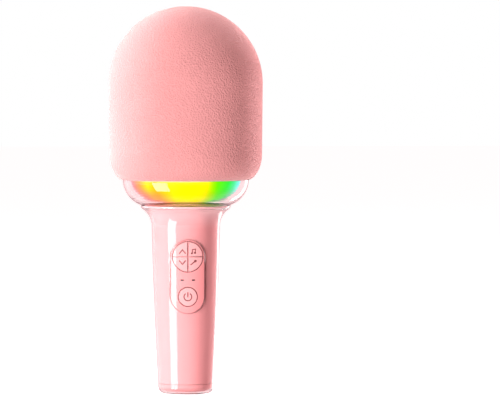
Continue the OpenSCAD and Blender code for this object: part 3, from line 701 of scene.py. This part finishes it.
def lay_ribbon(shape, pairs, y_at, closed=False):
    """A raised print: a ribbon on the surface with thin side walls sunk into it."""
    rise, sink = 0.03 * MM, 0.05 * MM
    top, low = [], []
    for pair in pairs:
        spots = [Vector((x * MM, y_at(x * MM, z * MM), z * MM)) for x, z in pair]
        top.append([shape.verts.new(p - Vector((0, rise, 0))) for p in spots])
        low.append([shape.verts.new(p + Vector((0, sink, 0))) for p in spots])
    count = len(pairs)
    last = count if closed else count - 1
    for i in range(last):
        n = (i + 1) % count
        shape.faces.new((top[i][0], top[n][0], top[n][1], top[i][1]))
        shape.faces.new((low[i][1], low[n][1], low[n][0], low[i][0]))
        shape.faces.new((low[i][0], low[n][0], top[n][0], top[i][0]))
        shape.faces.new((top[i][1], top[n][1], low[n][1], low[i][1]))
    if not closed:
        for i in (0, count - 1):
            shape.faces.new((top[i][0], top[i][1], low[i][1], low[i][0]))


def mark_on(key, strokes, material, width):
    """One mark on one key. strokes is a list of (points in mm, closed)."""
    y_at = surface_finder(key)
    shape = bmesh.new()
    for points, closed in strokes:
        dense = fine(points, MARK_STEP, closed)
        lay_ribbon(shape, stroke(dense, width, closed), y_at, closed)
    mesh_piece(f"{key}_mark", shape, key, material, smooth=False)


def circle_points(x, z, radius, start, end, count):
    """Points round a centre, clockwise from the top, with angles in degrees."""
    points = []
    for i in range(count + 1):
        a = math.radians(start + (end - start) * i / count)
        points.append((x + radius * math.sin(a), z + radius * math.cos(a)))
    return points


def chevron(x, z, rise):
    """An arrow head that points up, or down where rise is negative."""
    half_width = 1.85
    return [(x - half_width, z - rise), (x, z + rise), (x + half_width, z - rise)]


def capsule_points(low_z, high_z, radius, steps):
    """A closed outline round two centres, one above the other."""
    top = circle_points(0, high_z, radius, -90, 90, steps)
    bottom = circle_points(0, low_z, radius, 90, 270, steps)
    return top + bottom


def key_heights():
    """Heights of the middle of the four quarter keys and of the power key, in mm."""
    low, high = (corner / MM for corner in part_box("key_panel"))
    half = (high.x - low.x) / 2
    return high.z - half, low.z + half


def outline_piece(name, outlines, ink):
    """Outlines laid on the panel, printed rings and painted shade alike. outlines is a list of (closed
    points in mm, width).
    """
    y_at = surface_finder("key_panel")
    shape = bmesh.new()
    for points, width in outlines:
        lay_ribbon(shape, stroke(fine(points, PRINT_STEP, True), width, True), y_at, True)
    mesh_piece(name, shape, "housing", ink, smooth=False)


def panel_outlines(ink, rim_shade_paint):
    """A line of painted shade inside the panel's edge, paler than the rings, for the gap round the panel,
    and dark printed rings round the quarter keys and the power key.
    """
    low, high = (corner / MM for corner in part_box("key_panel"))
    four_z, power_z = key_heights()
    four_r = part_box("key_up")[1].z / MM - four_z
    power_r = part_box("power_key")[1].x / MM
    # Painted shade of the gap round the panel, laid as a line just inside its edge.
    rim = capsule_points(power_z, four_z, (high.x - low.x) / 2 - RIM_INSET, 40)
    outline_piece("panel_edge_painted_shade", [(rim, RIM_WIDTH)], rim_shade_paint)
    four_ring = circle_points(0, four_z, four_r + RING_OUTSET, 0, 357, 119)
    power_ring = circle_points(0, power_z, power_r + RING_OUTSET, 0, 355, 71)
    outline_piece("panel_outlines", [(four_ring, RING_WIDTH), (power_ring, RING_WIDTH)], ink)


def key_gap_painted_shade(shadow):
    """Painted shade: a rosy ribbon on the bottom of the gaps between the four quarter keys, darker than
    the wall it lies on.
    """
    floor_at = surface_finder("handle_core")
    four_z = key_heights()[0]
    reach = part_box("key_up")[1].z / MM - four_z - GAP_INSET
    upright = 2 * abs(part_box("key_mode")[0].x) / MM
    level = 2 * (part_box("key_mode")[0].z / MM - four_z)
    shape = bmesh.new()
    # Painted shade: ribbons on the handle's wall at the bottom of the upright and level gaps.
    for ends, width in (
        ([(0, four_z - reach), (0, four_z + reach)], upright),
        ([(-reach, four_z), (-upright / 2, four_z)], level),
        ([(upright / 2, four_z), (reach, four_z)], level),
    ):
        lay_ribbon(shape, stroke(fine(ends, PRINT_STEP), width), floor_at)
    mesh_piece("key_gap_painted_shade", shape, "housing", shadow, smooth=False)


def key_marks(ink):
    """Generic marks: up, down, a musical note, a hand microphone, and the power symbol.

    Places are in mm, from the keys' middles.
    """
    four_z, power_z = key_heights()
    mark_on("key_up", [(chevron(-3.1, four_z + 2.9, 1.15), False)], ink, ARROW_WIDTH)
    mark_on("key_down", [(chevron(-3.1, four_z - 3.2, -1.15), False)], ink, ARROW_WIDTH)
    x, z = 3.3, four_z + 3.1
    head_left = circle_points(x - 1.05, z - 1.1, 0.32, 0, 345, 14)
    head_right = circle_points(x + 0.75, z - 0.8, 0.32, 0, 345, 14)
    note = [(x - 0.75, z - 1.05), (x - 0.75, z + 1.0), (x + 1.05, z + 1.3), (x + 1.05, z - 0.75)]
    mark_on("key_mode", [(head_left, True), (head_right, True), (note, False)], ink, NOTE_WIDTH)
    x, z = 3.2, four_z - 3.3
    head = circle_points(x + 1.1, z + 0.85, 0.42, 0, 348, 16)
    stem = [(x + 0.5, z + 0.35), (x - 1.7, z - 1.3)]
    mark_on("key_effect", [(head, True), (stem, False)], ink, HAND_MIC_WIDTH)
    ring = circle_points(0, power_z, 2.2, 32, 328, 40)
    bar = [(0, power_z + 2.6), (0, power_z - 0.2)]
    mark_on("power_key", [(ring, False), (bar, False)], ink, POWER_WIDTH)


def panel_prints_and_shade():
    """Everything that is laid on the key panel, on its keys and in the gaps between them: printed marks
    and rings, and painted shade along the panel's edge and in the gaps between the quarter keys.
    """
    ink = moulded_plastic("key_print", ROSE, **INK_FINISH)
    # The rim line and the gap ribbons are painted shade. The rest are prints.
    panel_outlines(ink, moulded_plastic("rim_painted_shade", RIM_SHADE_ROSE, **MATT_FINISH))
    key_gap_painted_shade(moulded_plastic("gap_painted_shade", GAP_SHADE_ROSE, **MATT_FINISH))
    key_marks(ink)


# ---- stage, camera and lights --------------------------------------------------------------------

# The camera's place and what it frames, in metres, and its turn in degrees.
VIEW_DISTANCE = 2.5
VIEW_TURN = -4.3
EYE_HEIGHT = 0.200
FRAME_WIDTH = 0.2857
AIM_SIDE = 0.0367
AIM_HEIGHT = 0.1105

# The room's picture, as (heading, level) stops. Headings of 0 to 1 run from -X to +X for the side,
# from -Z to +Z for the rise, and from the microphone's front to its back for the depth.
ROOM_GLOW = 1.6
ROOM_SIDE = [(0.0, 1.0), (0.5, 0.8), (0.64, 0.6), (0.82, 0.25), (0.92, 0.0)]
ROOM_RISE = [(0.36, 0.0), (0.41, 1.0), (0.462, 1.0), (0.478, 0.0), (0.53, 0.05), (0.62, 0.9)]
ROOM_DEPTH = [(0.60, 1.0), (0.82, 0.4)]

# Towards the back, the room gives way to a plain colour: BACK_WALL by GRAZING for mirrored rays, and
# BACKDROP by SEEN_THROUGH for rays that come straight through the clear plastic.
GRAZING = [(0.70, 0.0), (0.84, 0.30), (0.93, 0.9), (0.99, 1.0)]
SEEN_THROUGH = [(0.45, 0.0), (0.62, 0.60), (0.76, 1.0)]
BACK_WALL = (0.88, 0.50, 0.53)
BACKDROP = (1.30, 1.12, 1.12)

# What scattered light meets, from below to above.
SOFT_LIGHT = [(0.35, (0.68, 0.50, 0.50)), (0.60, (0.30, 0.20, 0.20))]

FLOOR_GREY = (0.9, 0.9, 0.9)
FLOOR_GLOW = 0.80


def camera():
    """A long lens at the height of the head, turned a little to the panel's left."""
    turn = math.radians(VIEW_TURN)
    ahead = Vector((-math.sin(turn), math.cos(turn), 0))
    right = Vector((math.cos(turn), math.sin(turn), 0))
    aim = right * AIM_SIDE + Vector((0, 0, AIM_HEIGHT))
    spot = aim - ahead * VIEW_DISTANCE
    spot.z = EYE_HEIGHT
    data = bpy.data.cameras.new("camera")
    data.sensor_width = 36
    data.lens = data.sensor_width * VIEW_DISTANCE / FRAME_WIDTH
    data.clip_start, data.clip_end = 0.05, 50
    eye = bpy.data.objects.new("camera", data)
    bpy.context.scene.collection.objects.link(eye)
    eye.location = spot
    eye.rotation_mode = "QUATERNION"
    eye.rotation_quaternion = (aim - spot).to_track_quat("-Z", "Y")
    bpy.context.scene.camera = eye


def floor():
    """A wide pale floor that only the camera sees, so that light and mirrored rays pass it."""
    shape = bmesh.new()
    bmesh.ops.create_grid(shape, x_segments=2, y_segments=2, size=6.0)
    mesh = bpy.data.meshes.new("floor")
    shape.to_mesh(mesh)
    shape.free()
    plane = bpy.data.objects.new("floor", mesh)
    bpy.context.scene.collection.objects.link(plane)
    material, _, shader = start_material("floor")
    shader.inputs["Base Color"].default_value = (*FLOOR_GREY, 1)
    shader.inputs["Roughness"].default_value = 1.0
    shader.inputs["Specular IOR Level"].default_value = 0.0
    shader.inputs["Emission Color"].default_value = (1, 1, 1, 1)
    shader.inputs["Emission Strength"].default_value = FLOOR_GLOW
    mesh.materials.append(material)
    plane.visible_glossy = False
    plane.visible_diffuse = False
    plane.visible_transmission = False
    plane.visible_shadow = False


def area_light(name, azimuth, height, distance, size, power, aim_z=0.12, colour=(1, 1, 1)):
    """A softbox that lights but isn't seen. Azimuth is from the front, positive to the right."""
    turn = math.radians(azimuth)
    spot = Vector((math.sin(turn) * distance, -math.cos(turn) * distance, height))
    data = bpy.data.lights.new(name, "AREA")
    data.shape = "RECTANGLE"
    data.size, data.size_y = size
    data.energy = power
    data.color = colour
    lamp = bpy.data.objects.new(name, data)
    bpy.context.scene.collection.objects.link(lamp)
    lamp.location = spot
    lamp.rotation_mode = "QUATERNION"
    lamp.rotation_quaternion = (Vector((0, 0, aim_z)) - spot).to_track_quat("-Z", "Y")
    lamp.visible_camera = False
    lamp.visible_glossy = False
    lamp.visible_transmission = False


def light_card(name, azimuth, distance, width, low, high, strength):
    """An upright card that only glossy surfaces mirror. It lights nothing."""
    turn = math.radians(azimuth)
    out = Vector((math.sin(turn), -math.cos(turn), 0))
    along = Vector((math.cos(turn), math.sin(turn), 0)) * width / 2
    shape = bmesh.new()
    corners = [
        out * distance + along * side + Vector((0, 0, z))
        for side, z in ((-1, low), (1, low), (1, high), (-1, high))
    ]
    shape.faces.new([shape.verts.new(c) for c in corners])
    mesh = bpy.data.meshes.new(name)
    shape.to_mesh(mesh)
    shape.free()
    card = bpy.data.objects.new(name, mesh)
    bpy.context.scene.collection.objects.link(card)
    material, tree, shader = start_material(name)
    tree.nodes.remove(shader)
    glow = add(tree, "ShaderNodeEmission", Strength=strength)
    link(tree, glow.outputs["Emission"], tree.nodes["Material Output"].inputs["Surface"])
    mesh.materials.append(material)
    card.visible_camera = False
    card.visible_diffuse = False
    card.visible_transmission = False
    card.visible_shadow = False


def world():
    """The studio round the object.

    The camera sees white. Scattered light meets a dim rose, paler below. Mirrored rays meet a soft
    picture of the room, with a glowing wall on the left and darkness on the right, and a rosy wall
    behind. Rays through the clear plastic meet the same picture, with a bright pale pink behind.
    """
    surround = bpy.data.worlds.new("studio")
    bpy.context.scene.world = surround
    surround.use_nodes = True
    tree = surround.node_tree
    path = tree.nodes.new("ShaderNodeLightPath").outputs
    heading = tree.nodes.new("ShaderNodeTexCoord").outputs["Generated"]
    parts = tree.nodes.new("ShaderNodeSeparateXYZ")
    link(tree, heading, parts.inputs["Vector"])
    side = math_node(tree, "MULTIPLY_ADD", parts.outputs["X"], 0.5, 0.5)
    away = math_node(tree, "MULTIPLY_ADD", parts.outputs["Y"], 0.5, 0.5)
    rise = math_node(tree, "MULTIPLY_ADD", parts.outputs["Z"], 0.5, 0.5)
    glow = math_node(tree, "MULTIPLY", grey_ramp(tree, side, ROOM_SIDE), grey_ramp(tree, rise, ROOM_RISE))
    glow = math_node(tree, "MULTIPLY", glow, grey_ramp(tree, away, ROOM_DEPTH))
    glow = math_node(tree, "MULTIPLY", glow, ROOM_GLOW)
    bright = tree.nodes.new("ShaderNodeCombineXYZ")
    for axis in "XYZ":
        link(tree, glow, bright.inputs[axis])

    def mixed(fac, first, second):
        node = tree.nodes.new("ShaderNodeMixRGB")
        for value, socket in ((fac, "Fac"), (first, "Color1"), (second, "Color2")):
            if isinstance(value, (tuple, float)):
                node.inputs[socket].default_value = value
            else:
                link(tree, value, node.inputs[socket])
        return node.outputs["Color"]

    mirror = mixed(grey_ramp(tree, away, GRAZING), bright.outputs["Vector"], (*BACK_WALL, 1))
    bent = mixed(grey_ramp(tree, away, SEEN_THROUGH), bright.outputs["Vector"], (*BACKDROP, 1))
    colour = mixed(path["Is Glossy Ray"], ramp(tree, rise, SOFT_LIGHT), mirror)
    unscattered = math_node(tree, "LESS_THAN", path["Diffuse Depth"], 0.5)
    through = math_node(tree, "MULTIPLY", path["Is Transmission Ray"], unscattered)
    colour = mixed(through, colour, bent)
    colour = mixed(path["Is Camera Ray"], colour, (1.0, 1.0, 1.0, 1))
    link(tree, colour, tree.nodes["Background"].inputs["Color"])


def lights():
    """The world, the lamps and the cards. low_front stands under the floor, which casts no shadow."""
    world()
    area_light("key_left", -32, 0.10, 1.1, (0.5, 0.6), 15)
    area_light("low_front", -14, -0.45, 0.8, (0.5, 0.3), 4.5, aim_z=0.08)
    area_light("edge_left", -113, 0.32, 0.8, (0.3, 0.9), 15.5)
    area_light("rim_right", 130, 0.20, 0.8, (0.20, 0.9), 18, colour=(1, 0.78, 0.79))
    area_light("top", -112, 1.1, 0.34, (0.5, 0.5), 9.5)
    light_card("strip_card", -50.3, 0.24, 0.122, -0.09, 0.079, 11.5)
    light_card("rim_card", 140, 0.30, 0.08, -0.09, 0.30, 3)


def main():
    scene = bpy.context.scene
    scene.view_settings.view_transform = "Standard"
    camera()
    materials = slot_materials()
    dress_nodes(materials)
    windscreen(materials["foam"])
    wire_mesh(materials["grille_aluminium"])
    panel_prints_and_shade()
    floor()
    lights()


main()
